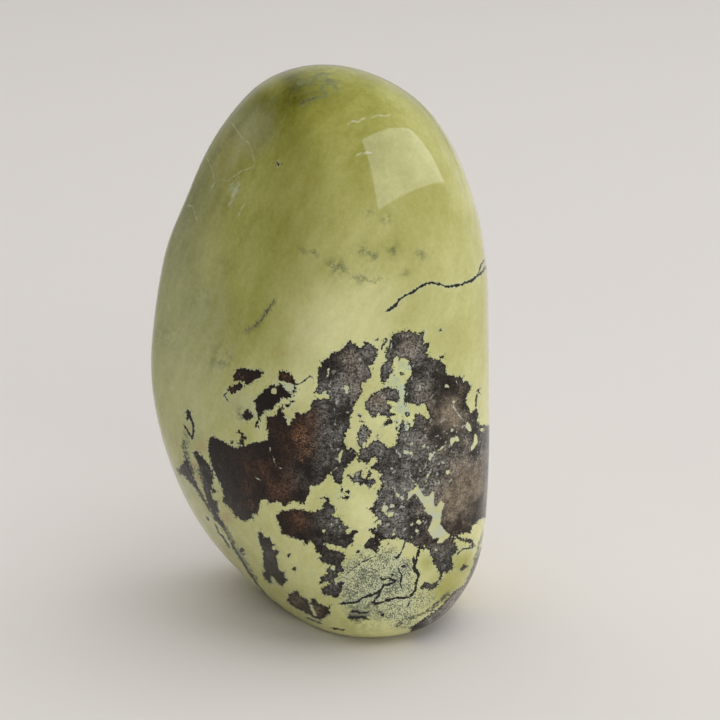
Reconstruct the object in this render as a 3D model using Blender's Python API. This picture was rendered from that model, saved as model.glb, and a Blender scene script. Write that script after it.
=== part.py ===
"""Polished serpentine stone: one solid that stands on a small flat cut face.

The stone is a loft through horizontal sections, each a rounded oval, ground by
a few flat facets whose edges are soft. Units are metres, +Z is up, +X is to the
right as seen from the front, and the front faces -Y. The origin is on the base
face, the flat spot that the stone stands on.
"""
import math

import bmesh
import bpy
import numpy as np

MM = 0.001

OBJECT_NAME = "serpentine_rock"

# Each section through the stone: its height, then how far the uncut oval
# reaches to the left, right, front and back of the origin, all in millimetres.
SECTIONS = (
    (0.0, -15.8, 12.6, -13.4, 14.5),
    (0.8, -18.4, 15.2, -16.2, 17.0),
    (3.0, -22.8, 18.0, -18.6, 19.4),
    (7.0, -28.6, 20.9, -20.4, 21.4),
    (13.0, -33.8, 23.8, -22.2, 23.2),
    (21.0, -37.6, 25.8, -23.6, 24.6),
    (31.0, -40.2, 26.8, -24.6, 25.6),
    (42.0, -43.2, 26.8, -25.2, 26.2),
    (53.0, -48.0, 26.2, -25.2, 26.2),
    (64.0, -47.6, 25.2, -24.4, 25.4),
    (74.0, -37.6, 22.8, -22.6, 23.8),
    (83.0, -31.2, 19.6, -20.0, 21.2),
    (90.5, -26.6, 16.0, -16.8, 18.0),
    (96.5, -22.0, 11.4, -13.0, 14.2),
    (100.8, -17.4, 5.4, -8.8, 10.0),
    (103.2, -12.0, -0.8, -4.8, 6.0),
    (104.1, -6.4, -6.4, 0.6, 0.6),
)

# A section's oval has this power: 2 is an ellipse, and more is squarer.
OVAL_POWER = 2.55

# Flat facets ground on the stone. A facet faces the azimuth (degrees from +X
# towards +Y) and elevation, lies the distance (millimetres) from the origin,
# and meets the rest in an edge that is crisper the larger its last number is.
FACETS = {
    "left_front": (228.0, 12.0, 36.2, 11.0),
    "lower_left": (222.0, -28.0, 12.2, 6.0),
    "right": (0.0, 0.0, 24.6, 14.0),
    "back": (96.0, 4.0, 27.5, 8.0),
    "back_left": (150.0, 6.0, 42.0, 8.0),
}

# Fineness of the solid.
STEPS_PER_SECTION = 2.5
SIDES = 60

# Pale yellow-green serpentine with a polish, in linear values.
STONE_COLOUR = (0.44, 0.46, 0.18, 1.0)
STONE_ROUGHNESS = 0.15
SMOOTH_ANGLE = math.radians(40.0)


def clear_scene():
    """Remove whatever objects the file holds."""
    for item in list(bpy.data.objects):
        bpy.data.objects.remove(item, do_unlink=True)


def smooth_curve(values, level_end=False):
    """Slopes at the values for a cubic curve through all of them.

    The curve ends freely, or with no slope where level_end is set.
    """
    count = len(values)
    matrix = np.zeros((count, count))
    right_side = np.zeros(count)
    matrix[0, :2] = (2.0, 1.0)
    right_side[0] = 3.0 * (values[1] - values[0])
    for row in range(1, count - 1):
        matrix[row, row - 1:row + 2] = (1.0, 4.0, 1.0)
        right_side[row] = 3.0 * (values[row + 1] - values[row - 1])
    if level_end:
        matrix[-1, -1] = 1.0
    else:
        matrix[-1, -2:] = (1.0, 2.0)
        right_side[-1] = 3.0 * (values[-1] - values[-2])
    return np.linalg.solve(matrix, right_side)


def along_curve(values, slopes, places):
    """Read the cubic curve at places counted in sections."""
    start = np.clip(np.floor(places).astype(int), 0, len(values) - 2)
    part = places - start
    rise = part ** 2 * (3.0 - 2.0 * part)
    leave = part * (1.0 - part) ** 2
    arrive = -part ** 2 * (1.0 - part)
    level = values[start] * (1.0 - rise) + values[start + 1] * rise
    return level + slopes[start] * leave + slopes[start + 1] * arrive


def section_sizes(places):
    """Height, left, right, front and back of the oval at each place."""
    columns = np.array(SECTIONS).T
    sizes = []
    for index, values in enumerate(columns):
        is_height = index == 0
        slopes = smooth_curve(values, level_end=is_height)
        sizes.append(along_curve(values, slopes, places))
    return sizes


def soft_smaller(radius, limit, crispness):
    """The smaller of two radii, with a soft change from one to the other."""
    return (radius ** -crispness + limit ** -crispness) ** (-1.0 / crispness)


def stone_rings(ring_count, sides):
    """Points of the stone in millimetres, as rings from the base to the top."""
    places = np.linspace(0.0, len(SECTIONS) - 1.0, ring_count)
    height, left, right, front, back = section_sizes(places)
    middle_x = (left + right) / 2.0
    middle_y = (front + back) / 2.0
    half_width = np.maximum((right - left) / 2.0, 1e-3)[:, None]
    half_depth = np.maximum((back - front) / 2.0, 1e-3)[:, None]
    turn = np.linspace(0.0, 2.0 * math.pi, sides, endpoint=False)
    along_x = np.cos(turn)[None, :]
    along_y = np.sin(turn)[None, :]
    oval = np.abs(along_x / half_width) ** OVAL_POWER
    oval = oval + np.abs(along_y / half_depth) ** OVAL_POWER
    radius = oval ** (-1.0 / OVAL_POWER)
    for azimuth, elevation, distance, crispness in FACETS.values():
        facing_x = math.cos(math.radians(azimuth))
        facing_y = math.sin(math.radians(azimuth))
        tilt = math.radians(elevation)
        reach = (distance - height * math.sin(tilt)) / math.cos(tilt)
        reach = reach - middle_x * facing_x - middle_y * facing_y
        facing = np.maximum(along_x * facing_x + along_y * facing_y, 1e-3)
        limit = np.maximum(reach, 0.5)[:, None] / facing
        radius = soft_smaller(radius, limit, crispness)
    points_x = middle_x[:, None] + radius * along_x
    points_y = middle_y[:, None] + radius * along_y
    points_z = np.repeat(height[:, None], sides, axis=1)
    return np.stack((points_x, points_y, points_z), axis=-1)


def stone_material():
    """Plain polished serpentine."""
    material = bpy.data.materials.new("serpentine")
    material.use_nodes = True
    shader = material.node_tree.nodes["Principled BSDF"]
    shader.inputs["Base Color"].default_value = STONE_COLOUR
    shader.inputs["Roughness"].default_value = STONE_ROUGHNESS
    shader.inputs["Metallic"].default_value = 0.0
    material.diffuse_color = STONE_COLOUR
    return material


def make_stone(collection):
    """Loft the rings, close the top in a point and the base with a flat face."""
    ring_count = int(STEPS_PER_SECTION * (len(SECTIONS) - 1)) + 1
    rings = stone_rings(ring_count, SIDES) * MM
    shape = bmesh.new()
    loops = [[shape.verts.new(point) for point in ring] for ring in rings[:-1]]
    top = shape.verts.new(rings[-1].mean(axis=0))
    for lower, upper in zip(loops[:-1], loops[1:]):
        for side in range(SIDES):
            after = (side + 1) % SIDES
            shape.faces.new((lower[side], lower[after], upper[after], upper[side]))
    for side in range(SIDES):
        shape.faces.new((loops[-1][side], loops[-1][(side + 1) % SIDES], top))
    shape.faces.new(tuple(reversed(loops[0])))
    mesh = bpy.data.meshes.new(OBJECT_NAME)
    shape.to_mesh(mesh)
    shape.free()
    mesh.materials.append(stone_material())
    mesh.shade_smooth()
    mesh.set_sharp_from_angle(angle=SMOOTH_ANGLE)
    stone = bpy.data.objects.new(OBJECT_NAME, mesh)
    collection.objects.link(stone)
    return stone


def main():
    clear_scene()
    collection = bpy.data.collections.new(OBJECT_NAME)
    bpy.context.scene.collection.children.link(collection)
    make_stone(collection)


main()
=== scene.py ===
"""Looks of the polished serpentine stone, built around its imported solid.

The stone is lofted again from the sections of its solid, only finer. Its
markings are outlines, lines and soft round zones drawn in pixels of the front
view, a frame of 720 by 720, and laid on the stone as that view's camera sees
it. On the hidden sides they come from seeded waves and from lines drawn on the
unrolled stone. The dark mineral, the rims, the veins and the speckle are only
colour and finish. The stone is worked out in millimetres, the studio in metres.
"""
import math

import bpy
import numpy as np
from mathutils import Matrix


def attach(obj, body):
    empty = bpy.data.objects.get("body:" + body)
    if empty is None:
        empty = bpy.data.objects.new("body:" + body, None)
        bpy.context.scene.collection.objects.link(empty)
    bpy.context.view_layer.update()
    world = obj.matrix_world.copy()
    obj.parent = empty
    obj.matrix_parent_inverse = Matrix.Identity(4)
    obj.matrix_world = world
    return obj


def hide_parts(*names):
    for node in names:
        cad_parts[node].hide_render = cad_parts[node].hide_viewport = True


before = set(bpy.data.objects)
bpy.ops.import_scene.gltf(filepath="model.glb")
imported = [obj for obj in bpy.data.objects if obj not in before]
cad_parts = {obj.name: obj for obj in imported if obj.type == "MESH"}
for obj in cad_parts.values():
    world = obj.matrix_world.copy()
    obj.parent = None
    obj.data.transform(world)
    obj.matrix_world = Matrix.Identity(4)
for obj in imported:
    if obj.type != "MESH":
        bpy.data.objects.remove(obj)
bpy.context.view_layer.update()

MM = 0.001
PIECE_NAME = "serpentine_stone"
NODE_NAME = "serpentine_rock"

# Each section, the same as the solid's: its height, then how far the uncut oval
# reaches to the left, right, front and back of the origin, in millimetres.
SECTIONS = (
    (0.0, -15.8, 12.6, -13.4, 14.5),
    (0.8, -18.4, 15.2, -16.2, 17.0),
    (3.0, -22.8, 18.0, -18.6, 19.4),
    (7.0, -28.6, 20.9, -20.4, 21.4),
    (13.0, -33.8, 23.8, -22.2, 23.2),
    (21.0, -37.6, 25.8, -23.6, 24.6),
    (31.0, -40.2, 26.8, -24.6, 25.6),
    (42.0, -43.2, 26.8, -25.2, 26.2),
    (53.0, -48.0, 26.2, -25.2, 26.2),
    (64.0, -47.6, 25.2, -24.4, 25.4),
    (74.0, -37.6, 22.8, -22.6, 23.8),
    (83.0, -31.2, 19.6, -20.0, 21.2),
    (90.5, -26.6, 16.0, -16.8, 18.0),
    (96.5, -22.0, 11.4, -13.0, 14.2),
    (100.8, -17.4, 5.4, -8.8, 10.0),
    (103.2, -12.0, -0.8, -4.8, 6.0),
    (104.1, -6.4, -6.4, 0.6, 0.6),
)
OVAL_POWER = 2.55

# Each facet, the same as the solid's: azimuth and elevation it faces, distance
# from the origin, and how crisp its edge is.
FACETS = {
    "left_front": (228.0, 12.0, 36.2, 11.0),
    "lower_left": (222.0, -28.0, 12.2, 6.0),
    "right": (0.0, 0.0, 24.6, 14.0),
    "back": (96.0, 4.0, 27.5, 8.0),
    "back_left": (150.0, 6.0, 42.0, 8.0),
}

# Limits that keep the sums sound.
LEAST_REACH = 0.5
TINY = 1e-3
VERY_FAR = 1e6

# Fineness: the front is finer than the back, and the marked lower part is finer
# than the upper part. The sides are shared out round one typical section.
RING_COUNT = 328
SIDE_COUNT = 300
UPPER_PART_FROM = 66.0
UPPER_PART_SHARE = 0.62
SIDE_SHARE = 0.42
BACK_FROM = 6.0
BACK_SHARE = 0.30
PLACE_STEPS = 4000
TURN_STEPS = 7200
TYPICAL_SECTION = 7.0
SHARP_ANGLE = 50.0

# Camera, fitted to the photograph, in millimetres and degrees.
CAMERA_PLACE = (0.0, -347.5, 172.6)
CAMERA_DOWN = 19.49
CAMERA_LENS = 100.0
CAMERA_SENSOR = 36.0
FRAME_PIXELS = 720.0
PIXELS_PER_MM = 5.5

# Studio: each lamp's azimuth, distance and height, the azimuth it shines from and
# its downward tilt, its width and height, its brightness, and whether it is only
# seen as a reflection.
LAMPS = {
    "window": (-18.0, 1.53, 1.58, -39.6, 2.3, 2.85, 1.52, 5.8, True),
    "front": (-65.0, 1.93, 0.57, -65.0, 15.0, 1.60, 1.20, 2.1, False),
    "side": (0.0, 1.26, 1.85, 0.0, 55.0, 2.00, 2.00, 1.28, False),
    "over": (0.0, 0.01, 2.25, 0.0, 89.9, 2.40, 2.40, 1.32, False),
}
WORLD_COLOUR = (0.83, 0.82, 0.82)
FLOOR_SIZE = 40.0
FLOOR_COLOUR = (0.80, 0.760, 0.722)
FLOOR_ROUGHNESS = 0.8

# Colours of the dark mineral, the veins and what lies round them, linear.
RIM = (0.60, 0.68, 0.52)
PALE_LINE = (0.62, 0.62, 0.42)
HAZE = (0.15, 0.165, 0.088)
STAIN = (0.52, 0.36, 0.17)
SPECKLE_GROUND = (0.66, 0.70, 0.50)
SPECKLE = (0.09, 0.11, 0.09)
STREAK = (0.085, 0.092, 0.086)
# FAINT also paints the reflection edge along the left rim.
FAINT = (0.20, 0.225, 0.115)
SMOKE = (0.075, 0.085, 0.064)
TINT = (0.50, 0.60, 0.42)
VEIN = (0.022, 0.024, 0.022)
FLECK = (0.62, 0.66, 0.52)
PATCH_RIM = (0.012, 0.011, 0.010)
PATCH_DEEP = (0.014, 0.006, 0.003)
PATCH_RED = (0.082, 0.038, 0.018)
PATCH_ORANGE = (0.240, 0.125, 0.055)
PATCH_GREY = (0.138, 0.132, 0.119)
PATCH_TAN = (0.200, 0.160, 0.113)
PATCH_LIGHT = (0.470, 0.490, 0.430)
# A lighter grey-brown of the dark mineral, laid on at the lower right ledge.
PATCH_PALE_LEDGE = (0.300, 0.275, 0.240)

# Shares and levels of single steps of the material.
SPECKLE_FINE_SHARE = 0.7
SPECKLE_GAIN = 0.07
SPECKLE_SHARE = 0.88
STREAK_SHARE = 0.8
PATCH_RIM_SHARE = 0.92
PALE_LEDGE_CALM = 1.5
FINE_LEVELS = (0.32, 0.68)

# Finish: depths of the bump in millimetres, refraction and strength of the polish,
# and how far light spreads in the stone, in metres and by colour.
PIT_DEPTH = 0.020
SWELL_DEPTH = 0.012
STONE_IOR = 1.56
STONE_SPECULAR = 0.2
GLOW_SCALE = 0.002
GLOW_RADIUS = (1.0, 1.1, 0.35)

# Noises of the material: size in millimetres, detail, roughness and a shift that
# sets it apart, and where it is drawn out, how many times along its height and the
# degrees that it is then turned.
NOISES = {
    "cloud": (13, 4, 0.55, 3),
    "wisp": (3, 6, 0.66, 11, 2.6, 32),
    "mottle": (0.9, 3, 0.6, 21),
    "grit": (0.3, 1, 0.5, 23),
    "haze": (1.5, 5, 0.7, 31),
    "speckle_fine": (0.235, 1, 0.5, 41),
    "speckle_coarse": (1.3, 3, 0.6, 43),
    "speckle_clumps": (2.6, 2, 0.5, 47),
    "fine": (0.34, 2, 0.6, 51),
    "chips": (0.7, 2, 0.5, 55, 1.5, 28),
    "streaks": (0.8, 4, 0.7, 57, 3, -24),
    "coarse": (1.9, 4, 0.65, 61),
    "broad": (5, 3, 0.6, 67),
    "scallop": (0.5, 3, 0.65, 81),
    "crumbs": (0.34, 1, 0.5, 85),
    "line_swell": (1.2, 3, 0.7, 91),
    "rim": (1.8, 4, 0.65, 101),
    "pale": (1.1, 3, 0.6, 103),
    "torn": (0.6, 3, 0.7, 105),
    "satin": (0.8, 3, 0.6, 111),
    "gloss": (9, 4, 0.6, 121),
    "pits": (0.5, 4, 0.7, 131),
    "swell": (7, 2, 0.5, 141),
}
NOISE_SHIFT = (1.0, 0.7, 1.3)

# Places of the colours among the mix node's sockets.
MIX_FIRST = 6
MIX_SECOND = 7
MIX_RESULT = 2

# Soft changes: while a value goes from the first number to the second, the result
# goes from the third to the fourth, or else from 0 to 1.
CHANGES = {
    "clear_blue": (0.05, 0.9, 0.11, 0.525),
    "milk_blue": (0, 1, 0, 0.5),
    "milk_green": (0, 1, 0.98, 1.022),
    "cloud": (0.3, 0.7, -0.048, 0.048),
    "wisp": (0.3, 0.75, -0.03, 0.05),
    "mottle": (0.3, 0.7, -0.018, 0.018),
    "grit": (0.25, 0.75, -0.014, 0.014),
    "wisp_milk": (0.45, 0.75, 0, 0.25),
    "haze": (0.4, 0.62),
    "stain_mottle": (0.3, 0.6, 0.4, 1),
    "speckle_clumps": (0.35, 0.65, -0.03, 0.03),
    "speckle_dots": (0.55, 0.59),
    "speckle_there": (0.2, 0.5),
    "speckle_ground": (0.1, 0.9, 0, 0.6),
    "blend": (0.32, 0.56, 0.15, 1),
    "sparks": (0.5, 0.64),
    "calm": (0.3, 1),
    "darkest": (0, 1, 0.22, 0.62),
    "lightest": (0, 1, 1.72, 1.32),
    "coarse": (0.35, 0.65, 0.62, 1.3),
    "broad": (0.4, 0.6, 0.78, 1.18),
    "chips": (0.64, 0.675),
    "grey_chips": (0.3, 1, 0, 0.85),
    "streaks": (0.49, 0.6),
    "patch_rim": (-0.42, -0.12),
    "scallop": (0.25, 0.75, -0.3, 0.3),
    "crumbs": (0.66, 0.72),
    "crumbs_near": (0.85, 0.2),
    "patch_edge": (0.03, -0.03),
    "fleck_edge": (0.04, -0.04),
    "rim": (0.42, 0.62),
    "rim_near": (0.7, 0.05),
    "tint_rim": (0, 1, 0.38, 0.9),
    "tint": (0.1, 0.9, 0, 0.8),
    "pale": (0.35, 0.6, 0.12, 0.65),
    "faint": (0.36, 0.58, 0.3, 0.85),
    "smoke": (0.36, 0.52, 0.2, 0.95),
    "halo": (0.32, 0.55, 0.15, 0.75),
    "line_swell": (0.32, 0.68, 0.5, 1.35),
    "scratches": (0.44, 0.5, 0, 0.8),
    "fleck_pale": (0, 1, 0.15, 0.75),
    "satin": (0.3, 0.7, 0.14, 0.3),
    "gloss": (0.3, 0.7, 0.05, 0.1),
    "glow": (0, 1, 0.12, 0),
    "sky_behind": (-0.3, 0.8, 0.13, 0.62),
}

# Lines in the material: the attributes they come from, how far the scallops of the
# patch edges sway them, and how soft their edges are, in millimetres.
LINE_LOOKS = {
    "veins": (("vein_0", "vein_1", "vein_2", "vein_back"), 0.50, 0.03),
    # The pale look also draws painted glints and bits of painted reflection.
    "pale": (("pale",), 0.2, 0.03),
    "faint": (("faint",), 1.6, 0.35),
    "smoke": (("smoke",), 0.8, 0.16),
    "halo": (("vein_0", "vein_2"), 1.2, 0.70),
}

# Dark mineral patches: outlines in pixels of the front view, across and down.
PATCHES = {
    "pit": ((232, 376), (237, 370), (242, 368), (263, 371), (263, 374), (251, 384), (246, 384),
        (241, 380), (235, 381)),
    "crystals": ((232, 386), (240, 382), (244, 387), (234, 394), (227, 391), (229, 386)),
    "hook": ((279, 370), (289, 372), (295, 380), (297, 384), (296, 394), (293, 395), (294, 384),
        (278, 380)),
    "chain": ((254, 401), (264, 390), (274, 384), (277, 387), (280, 383), (287, 388), (291, 396),
        (296, 394), (290, 398), (282, 398), (272, 409), (264, 410), (258, 426), (259, 429), (254, 427),
        (258, 418)),
    "chip": ((241, 434), (243, 432), (243, 437), (248, 437), (247, 440), (244, 440), (243, 446),
        (237, 443), (240, 440)),
    "left_patch": ((208, 450), (209, 437), (213, 436), (235, 448), (265, 440), (268, 438), (266, 417),
        (275, 416), (280, 407), (285, 404), (282, 411), (289, 426), (291, 420), (295, 418), (295, 412),
        (302, 414), (310, 410), (313, 400), (329, 398), (326, 390), (316, 397), (317, 394), (314, 393),
        (317, 390), (318, 384), (318, 369), (322, 364), (321, 362), (330, 357), (331, 352), (338, 352),
        (350, 340), (360, 348), (362, 348), (365, 342), (370, 343), (378, 350), (375, 361), (372, 366),
        (369, 366), (372, 376), (366, 382), (363, 382), (361, 386), (363, 390), (353, 407), (354, 412),
        (350, 417), (350, 428), (344, 434), (346, 436), (344, 439), (346, 448), (348, 450), (351, 446),
        (358, 453), (355, 459), (344, 469), (342, 486), (334, 481), (331, 472), (320, 485), (315, 485),
        (314, 488), (310, 489), (311, 492), (306, 498), (305, 504), (292, 501), (286, 507), (278, 501),
        (270, 504), (266, 499), (261, 500), (258, 515), (252, 514), (254, 520), (252, 518), (244, 522),
        (238, 517), (235, 518), (232, 511), (223, 502), (224, 493), (212, 467)),
    "blurred_patch": ((243, 413), (246, 409), (253, 414), (254, 417), (247, 421), (242, 418)),
    "middle_patch": ((364, 404), (371, 395), (385, 387), (388, 388), (388, 386), (392, 390), (396, 387),
        (398, 391), (400, 400), (398, 402), (388, 400), (387, 402), (395, 408), (388, 408), (390, 412),
        (397, 414), (391, 417), (394, 422), (383, 427), (382, 425), (389, 419), (388, 417), (378, 414),
        (374, 418), (366, 410)),
    "stem_patch": ((361, 425), (365, 425), (372, 432), (366, 442), (366, 449), (363, 452), (358, 444),
        (356, 432), (360, 430)),
    "right_patch": ((392, 337), (392, 334), (402, 331), (406, 332), (409, 330), (420, 335), (420, 330),
        (425, 331), (423, 344), (430, 343), (426, 352), (429, 357), (440, 360), (444, 364), (447, 374),
        (457, 377), (460, 375), (464, 382), (468, 381), (471, 387), (466, 400), (470, 413), (476, 408),
        (478, 414), (477, 422), (482, 426), (483, 424), (502, 428), (502, 519), (482, 518), (472, 526),
        (472, 532), (452, 536), (451, 538), (459, 548), (451, 558), (454, 568), (446, 574), (445, 572),
        (443, 573), (442, 580), (438, 582), (438, 586), (431, 590), (424, 588), (421, 590), (420, 587),
        (425, 582), (431, 584), (438, 580), (440, 573), (433, 563), (432, 560), (435, 560), (431, 557),
        (428, 549), (421, 550), (417, 546), (397, 537), (395, 539), (378, 540), (380, 543), (378, 553),
        (361, 546), (372, 537), (372, 533), (368, 529), (376, 528), (381, 522), (368, 508), (374, 509),
        (372, 507), (378, 497), (376, 492), (382, 487), (380, 477), (382, 474), (370, 468), (378, 461),
        (374, 456), (367, 464), (362, 461), (358, 462), (360, 449), (366, 448), (374, 440), (380, 440),
        (388, 448), (392, 448), (396, 443), (402, 418), (404, 420), (405, 432), (414, 424), (414, 416),
        (418, 412), (428, 420), (430, 416), (425, 404), (416, 406), (415, 403), (405, 404), (404, 408),
        (405, 383), (412, 373), (408, 360), (405, 358), (399, 360), (398, 356), (396, 356), (392, 366),
        (394, 370), (384, 384), (381, 382), (380, 370), (387, 360), (384, 356)),
    "island_patch": ((351, 479), (356, 472), (362, 470), (362, 478), (366, 480), (369, 471), (372, 474),
        (368, 479), (373, 478), (376, 482), (372, 485), (370, 491), (366, 484), (361, 485), (357, 482),
        (353, 484)),
    "bar": ((340, 490), (342, 488), (345, 492), (348, 490), (350, 493), (344, 494)),
    "ring": ((340, 497), (348, 496), (350, 498), (347, 500)),
    "lower_patch": ((276, 515), (281, 511), (298, 509), (315, 512), (319, 509), (324, 510), (322, 506),
        (326, 501), (324, 498), (319, 499), (326, 496), (331, 498), (330, 502), (336, 509), (335, 514),
        (332, 514), (334, 517), (341, 518), (342, 522), (349, 528), (345, 531), (347, 535), (355, 530),
        (359, 531), (353, 538), (353, 546), (349, 543), (347, 549), (322, 542), (329, 549), (345, 553),
        (344, 562), (340, 563), (345, 571), (337, 573), (338, 582), (344, 581), (339, 597), (334, 598),
        (322, 593), (321, 588), (330, 584), (328, 581), (318, 584), (321, 580), (320, 577), (328, 574),
        (326, 570), (332, 564), (322, 563), (318, 558), (321, 556), (316, 551), (315, 546), (308, 540),
        (308, 544), (304, 546), (304, 541), (282, 534)),
    "tongue": ((257, 533), (261, 531), (264, 537), (269, 537), (279, 552), (276, 556), (279, 570),
        (285, 572), (284, 576), (288, 579), (282, 587), (271, 577), (272, 585), (264, 578), (262, 572),
        (266, 572), (263, 566), (263, 552)),
    "foot_patch": ((289, 594), (296, 591), (299, 592), (300, 596), (308, 600), (309, 603), (312, 602),
        (312, 598), (316, 598), (317, 602), (326, 607), (331, 605), (329, 610), (331, 613), (321, 620),
        (317, 619), (294, 607), (287, 601)),
    "band": ((193, 451), (196, 451), (203, 457), (212, 470), (214, 477), (212, 487), (218, 491),
        (214, 493), (211, 491), (212, 497), (214, 501), (220, 500), (217, 503), (219, 512), (217, 513),
        (225, 526), (222, 528), (214, 519), (206, 498), (203, 486), (204, 480)),
    "wedge": ((176, 468), (179, 469), (185, 460), (188, 460), (194, 478), (213, 514), (211, 514),
        (196, 489), (182, 474), (180, 475)),
    "loop": ((186, 410), (188, 410), (190, 413), (190, 419), (188, 421), (186, 419)),
    "ring_arc": ((452, 536), (472, 540), (475, 546), (471, 549), (469, 547), (472, 544), (456, 539),
        (452, 540)),
    "drop": ((460, 570), (462, 566), (466, 564), (468, 565), (466, 568), (462, 571)),
    "ledge": ((410, 632), (412, 627), (440, 607), (453, 592), (465, 584), (482, 545), (495, 545),
        (495, 600), (450, 640)),
}

# Pale flecks and openings inside the patches, in the same pixels.
FLECKS = {
    "channel": ((327, 369), (330, 368), (329, 374), (326, 380), (326, 378), (328, 372)),
    "wedge": ((341, 451), (343, 450), (342, 456), (340, 463), (338, 459), (339, 455)),
    "slit": ((336, 466), (338, 467), (336, 470), (334, 470)),
    "stem_gap": ((362, 448), (363, 444), (364, 440), (366, 442), (365, 448)),
    "tongue_gap": ((271, 575), (274, 578), (276, 581), (274, 582)),
    "foot_gap": ((309, 604), (312, 605), (315, 611), (317, 616), (314, 616), (311, 610)),
    "inlet": ((408, 492), (416, 488), (415, 484), (417, 484), (424, 496), (430, 496), (432, 492),
        (434, 492), (434, 504), (436, 507), (438, 506), (440, 500), (445, 504), (442, 510), (440, 524),
        (446, 532), (450, 534), (448, 538), (440, 544), (437, 543), (440, 538), (433, 538), (428, 531),
        (433, 517), (424, 510), (426, 509), (416, 494), (414, 494), (406, 502), (408, 498)),
    "island_1": ((464, 425), (466, 424), (468, 421), (472, 429), (471, 432), (468, 430)),
    "island_2": ((449, 439), (458, 436), (459, 441), (455, 441), (451, 446)),
    "fork": ((445, 445), (443, 448), (437, 451), (430, 460), (428, 459), (430, 454), (428, 452),
        (433, 453)),
    "fork_tail": ((428, 470), (430, 472), (428, 478), (426, 482), (427, 476)),
    "right_edge": ((474, 434), (476, 434), (478, 442), (473, 450), (470, 450), (474, 442)),
    "grain_1": ((396, 493), (398, 492), (399, 495), (404, 498), (403, 500), (396, 496)),
    "grain_2": ((382, 511), (384, 502), (388, 508), (387, 511)),
    "grain_3": ((383, 512), (386, 512), (388, 514), (390, 512), (394, 512), (393, 516), (389, 518)),
}

# Small round flecks: middle and radius, in pixels.
FLECK_DOTS = (
    (346, 388, 2.8), (347, 392, 1.8), (274, 391, 3), (288, 388, 3.2), (284, 387, 1.5), (312, 488, 2.8),
    (378, 414, 1.5), (324, 531, 1.6), (332, 524, 1.4), (333, 568, 2.5), (337, 580, 2.6), (336, 584, 1.5),
    (274, 548, 2.1), (446, 386, 1.5), (448, 387, 1.4), (454, 402, 1.6), (452, 430, 1.7), (448, 472, 2.3),
    (482, 430, 1.8), (424, 446, 1.6), (406, 452, 2.2), (411, 453, 1.5), (412, 444, 1.5), (392, 468, 1.4),
    (392, 506, 2.1), (381, 524, 1.5), (417, 531, 1.7), (412, 524, 1.4), (419, 522, 2.2), (394, 534, 1.6),
    (417, 518, 1.3), (424, 546, 1.3), (436, 550, 1.7), (373, 536, 1.9), (386, 487, 1.3),
)

# Small black dots, given like the round flecks.
DOTS = (
    (278, 164, 1.5), (289, 555, 1.7), (294, 569, 2), (392, 576, 1.4), (403, 566, 1.4), (407, 564, 1.3),
    (380, 544, 1.2), (388, 544, 1.3), (302, 66, 1.2), (383, 615, 1.6), (386, 577, 1.2), (292, 402, 2),
    (288, 406, 2), (239, 432, 1.8), (232, 442, 1.6), (377, 340, 1.3), (386, 339, 1.4), (382, 348, 1.3),
    (384, 344, 1.5), (386, 342, 1.3), (440, 330, 1.6), (442, 357, 2), (402, 374, 1.7), (408, 414, 2.3),
    (409, 424, 1.3), (396, 423, 1.5), (396, 428, 1.5), (360, 416, 1.7), (362, 421, 1.8), (376, 522, 1.2),
    (378, 436, 1.3), (350, 476, 2.2), (358, 551, 1.6), (242, 550, 2.3), (244, 554, 1.4),
)

# Two short strokes at the foot, dark with a smoky edge.
UPPER_BLOT = ((350, 612), (356, 611), (362, 613), (369, 612))
LOWER_BLOT = ((348, 617), (354, 618), (361, 617), (368, 619))

# Dark veins: half width, then points, all in pixels. Veins that meet are in
# different groups.
DARK_VEINS = (
    {
        "hair": (1.4, (386, 311), (394, 307), (398, 301), (404, 296), (413, 292), (423, 285), (431, 282),
            (448, 287), (460, 285), (472, 280), (482, 272), (487, 265)),
        "hook_hair": (0.6, (296, 385), (303, 382), (310, 376), (312, 376), (313, 379)),
        "pit_tail": (0.6, (228, 391), (224, 395), (229, 402)),
        "foot_vein": (1.2, (339, 604), (358, 602), (362, 598), (378, 592), (384, 585), (391, 584),
            (397, 580)),
        "net_1": (1, (405, 540), (404, 546), (399, 556), (397, 558), (394, 557)),
        "ring_vein": (0.9, (470, 548), (464, 549), (459, 552), (457, 555)),
        "loop_1": (1.2, (188, 410), (193, 424), (194, 432), (192, 439)),
        "left_strand": (1, (215, 524), (219, 533), (224, 538), (230, 549)),
        "low_line": (0.8, (305, 617), (322, 624)),
        "stroke_1": (0.8, (476, 392), (478, 390), (480, 394)),
        "net_4": (0.9, (398, 568), (402, 577), (400, 585), (402, 588)),
        "upper_blot": (1.1, *UPPER_BLOT),
    },
    {
        "round_vein": (1.3, (371, 602), (376, 604), (396, 598), (406, 598), (411, 596), (416, 588),
            (416, 583), (419, 575), (414, 568), (420, 546)),
        "net_2": (1.1, (380, 578), (384, 580), (388, 578), (392, 580), (397, 580)),
        "net_3": (0.6, (376, 556), (362, 562), (345, 575)),
        "edge_band": (0.9, (231, 543), (255, 582), (268, 597), (285, 611), (305, 624)),
        "loop_2": (0.9, (184, 425), (192, 438)),
        "stroke_2": (0.8, (478, 393), (476, 397), (476, 407)),
        "foot_line": (0.9, (331, 628), (345, 630)),
        "lower_blot": (1.1, *LOWER_BLOT),
    },
    {
        "link": (1, (382, 589), (379, 595), (373, 602)),
        "thick_1": (2, (414, 557), (414, 569), (418, 573), (418, 577)),
        "thick_2": (1.7, (370, 596), (376, 594), (381, 590)),
        "hair_fork": (0.7, (478, 274), (481, 265), (485, 259)),
        "comb": (0.8, (410, 601), (407, 607)),
        "right_strand": (1, (235, 549), (248, 570)),
        "stain_line": (0.9, (206, 516), (209, 521)),
    },
)

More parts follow.
